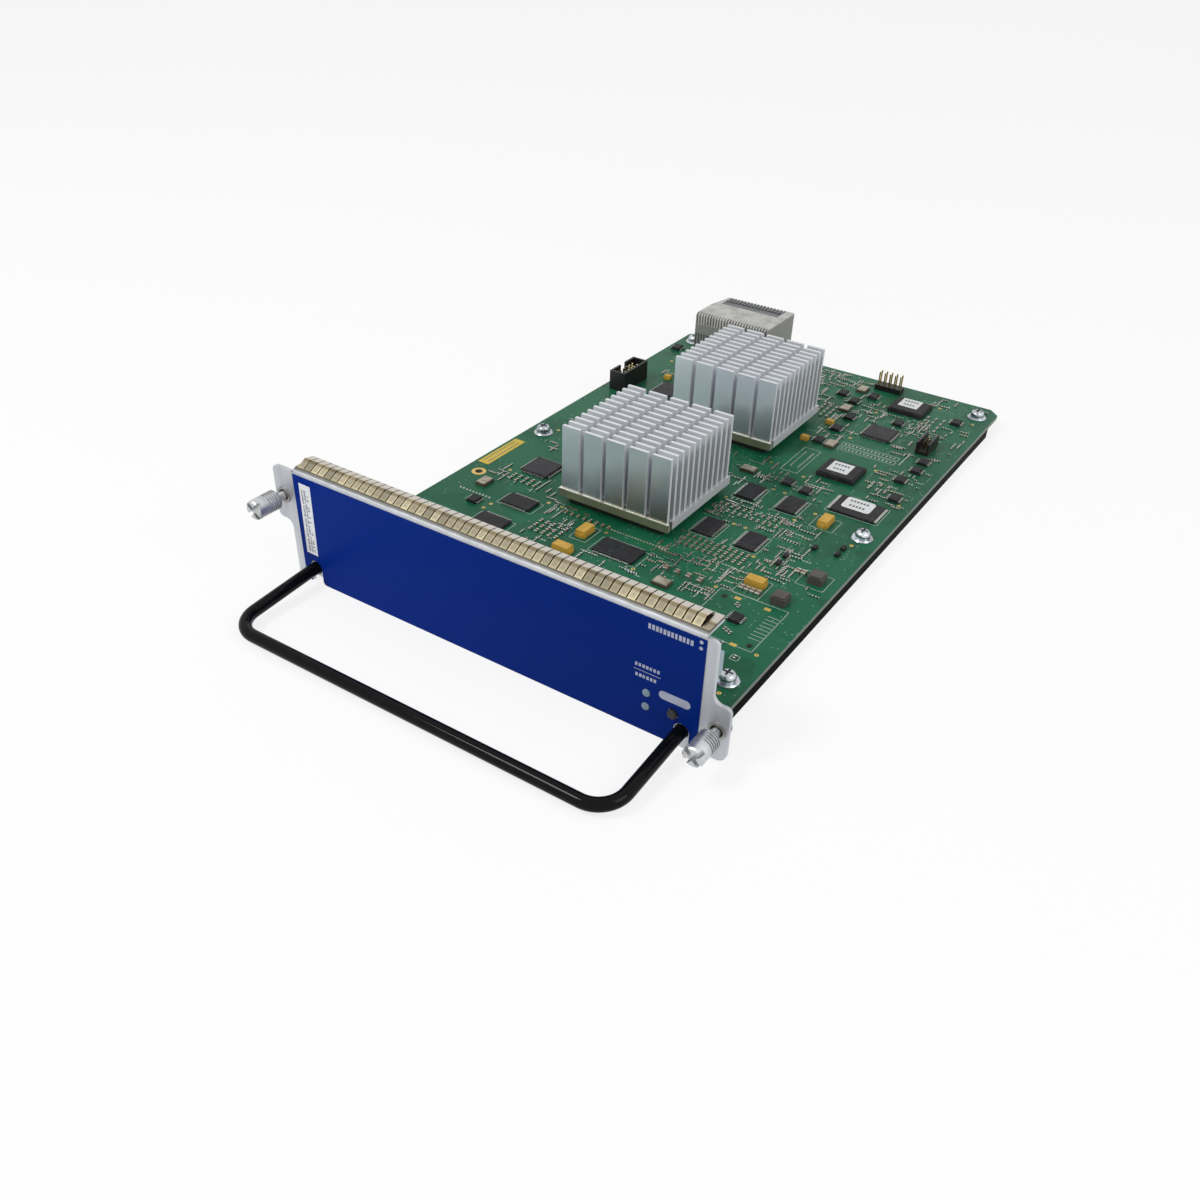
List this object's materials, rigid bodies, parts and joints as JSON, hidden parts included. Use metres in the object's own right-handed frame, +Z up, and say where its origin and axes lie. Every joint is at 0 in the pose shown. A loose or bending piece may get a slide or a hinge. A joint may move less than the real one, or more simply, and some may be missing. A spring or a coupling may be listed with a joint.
{
  "type": "chassis line card",
  "caption": "Plug-in network card: folded front panel with round-rod handle and captive screws, board on a tray, two finned heat sinks, rear connector.",
  "frame": {"origin": "under the middle of the whole card, at the height of the tray's underside", "axes": "+X along the front panel to its right as seen from the front, +Y from the handle to the rear connector, +Z up from the tray"},
  "size_m": [0.1792, 0.3198, 0.0457],
  "materials": {
    "zinc_plate": "satin zinc-plated sheet",
    "blue_film": "deep blue printed film",
    "white_label": "plain white label",
    "black_rod": "gloss black",
    "nuts": "zinc-plated",
    "finger_strip": "tinted spring copper alloy",
    "screws": "nickel-plated, turned",
    "clips": "spring steel",
    "ferrules": "plated",
    "green_board": "solder resist on glass laminate",
    "black_tray": "black painted sheet",
    "standoffs": "plated",
    "pan_screws": "zinc-plated",
    "washers": "zinc-plated",
    "rivets": "bright",
    "button": "black",
    "switch": "black",
    "light_pipe": "milky clear plastic",
    "lamp": "pale lamp body",
    "fins": "bright drawn aluminium",
    "package": "dark package",
    "thermal_pad": "grey pad",
    "cream_plastic": "pale grey moulding",
    "grey_plastic": "grey moulding",
    "black_plastic": "black moulding",
    "gold_pins": "gold-plated",
    "chip_black": "moulded package",
    "chip_grey": "moulded package",
    "ferrite": "dark ferrite",
    "tantalum": "yellow moulding",
    "oscillator": "tan ceramic with a metal lid",
    "brown_ceramic": "brown ceramic",
    "small_parts": "pale ceramic",
    "white_sticker": "plain white sticker",
    "yellow_label": "plain yellow label"
  },
  "bodies": {
    "card": {"faceplate": "zinc_plate", "face_overlay": "blue_film", "face_label": "white_label", "handle": "black_rod", "handle_nuts": "nuts", "emi_gasket": "finger_strip", "screw_ferrules": "ferrules", "circuit_board": "green_board", "tray": "black_tray", "tray_standoffs": "standoffs", "board_screws": "pan_screws", "lock_washers": "washers", "bracket_screws": "pan_screws", "faceplate_brackets": "zinc_plate", "bracket_rivets": "rivets", "switch_body": "switch", "light_pipes": "light_pipe", "indicator_lamp": "lamp", "heat_sink_front": "fins", "heat_sink_rear": "fins", "processor_front": "package", "processor_rear": "package", "thermal_pads": "thermal_pad", "backplane_connector": "cream_plastic", "connector_wafers": "grey_plastic", "box_header": "black_plastic", "box_header_pins": "gold_pins", "post_header": "black_plastic", "post_header_pins": "gold_pins", "mini_header": "black_plastic", "mini_header_pins": "gold_pins", "memory_chips": "chip_black", "driver_chips": "chip_black", "buffer_chip": "chip_black", "flash_chip": "chip_black", "quad_chips": "chip_grey", "controller_chips": "chip_black", "small_chips": "chip_black", "power_inductors": "ferrite", "tantalum_capacitors": "tantalum", "oscillators": "oscillator", "chip_capacitors": "brown_ceramic", "small_passives": "small_parts", "diodes": "chip_black", "chip_labels": "white_sticker", "board_label": "yellow_label"},
    "left_clip": {"retaining_clip_left": "clips"},
    "left_screw": {"captive_screw_left": "screws"},
    "right_clip": {"retaining_clip_right": "clips"},
    "right_screw": {"captive_screw_right": "screws"},
    "button": {"push_button": "button"}
  },
  "joints": [
    {"name": "left_screw_slide", "type": "slide", "parent": "card", "child": "left_clip", "axis": [0, 1, 0], "range_m": [0, 0.0033]},
    {"name": "left_screw_turn", "type": "hinge", "parent": "left_clip", "child": "left_screw", "pos_m": [-0.0858, -0.11912, 0.0316], "axis": [0, 1, 0], "continuous": true},
    {"name": "right_screw_slide", "type": "slide", "parent": "card", "child": "right_clip", "axis": [0, 1, 0], "range_m": [0, 0.0033]},
    {"name": "right_screw_turn", "type": "hinge", "parent": "right_clip", "child": "right_screw", "pos_m": [0.0858, -0.11912, 0.0118], "axis": [0, 1, 0], "continuous": true},
    {"name": "button_press", "type": "slide", "parent": "card", "child": "button", "axis": [0, 1, 0], "range_m": [0, 0.0006], "stiffness_N_per_m": 500, "springref_m": -0.0002}
  ]
}
